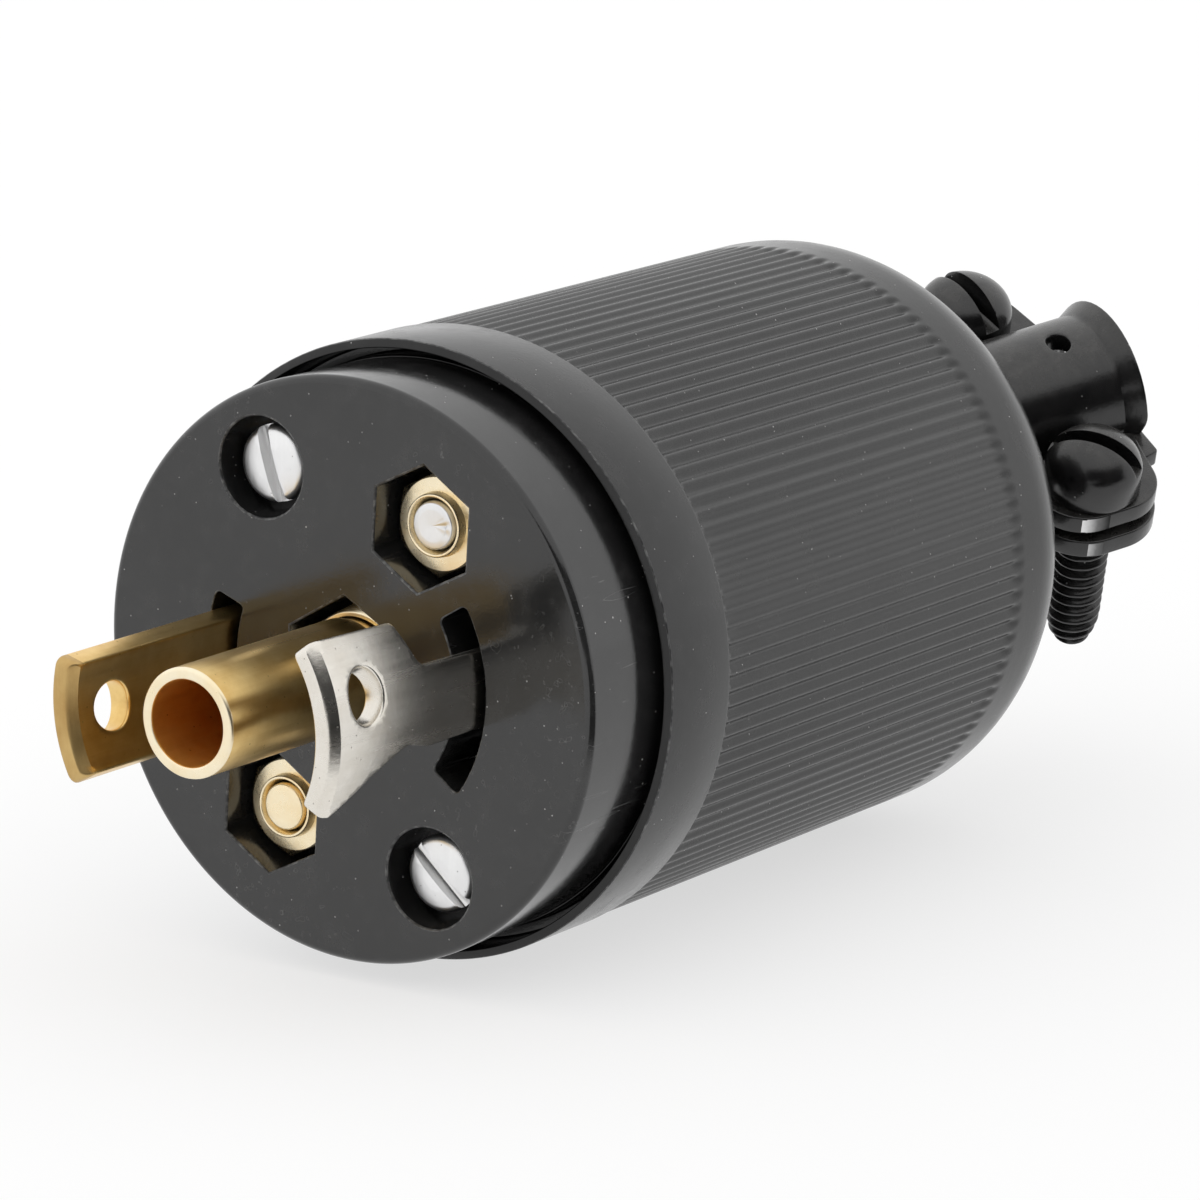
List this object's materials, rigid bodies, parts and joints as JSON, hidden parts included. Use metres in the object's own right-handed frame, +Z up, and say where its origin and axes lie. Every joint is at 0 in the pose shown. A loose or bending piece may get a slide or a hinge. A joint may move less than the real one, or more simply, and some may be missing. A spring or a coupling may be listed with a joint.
{
  "type": "locking plug",
  "caption": "Straight twist-lock plug with curved blades, round earth tube, finely fluted housing and a loose metal cord clamp",
  "frame": {"origin": "Centre of the flat contact face, on the plug's axis.", "axes": "+Y runs back along the plug to the cord end, the contacts point to -Y, +Z is up and the earth tube lies on the Y axis."},
  "size_m": [0.037, 0.0894, 0.037],
  "materials": {
    "housing_plastic": "satin black moulding, fine dust and scratches",
    "carrier_plastic": "glossy black moulding with light scratches",
    "brass": "bright drawn brass, slightly tarnished",
    "nickel": "bright nickel plate",
    "zinc_steel": "zinc plated steel",
    "blackened_steel": "black oxide, satin"
  },
  "bodies": {
    "root": {"body_shell": "housing_plastic", "contact_carrier": "carrier_plastic", "line_blade": "brass", "neutral_blade": "nickel", "ground_tube": "brass", "ground_tube_nut": "brass", "ground_strap": "brass", "ground_screw": "zinc_steel", "ground_washer": "zinc_steel", "line_terminal_screw": "brass", "neutral_terminal_screw": "zinc_steel", "line_terminal_nut": "brass", "neutral_terminal_nut": "brass", "line_washer": "brass", "neutral_washer": "zinc_steel", "assembly_screw_upper": "zinc_steel", "assembly_screw_lower": "zinc_steel", "threaded_insert_upper": "brass", "threaded_insert_lower": "brass", "clamp_upper": "blackened_steel", "clamp_lower": "blackened_steel", "clamp_screw_left": "blackened_steel", "clamp_screw_right": "blackened_steel"}
  },
  "joints": []
}
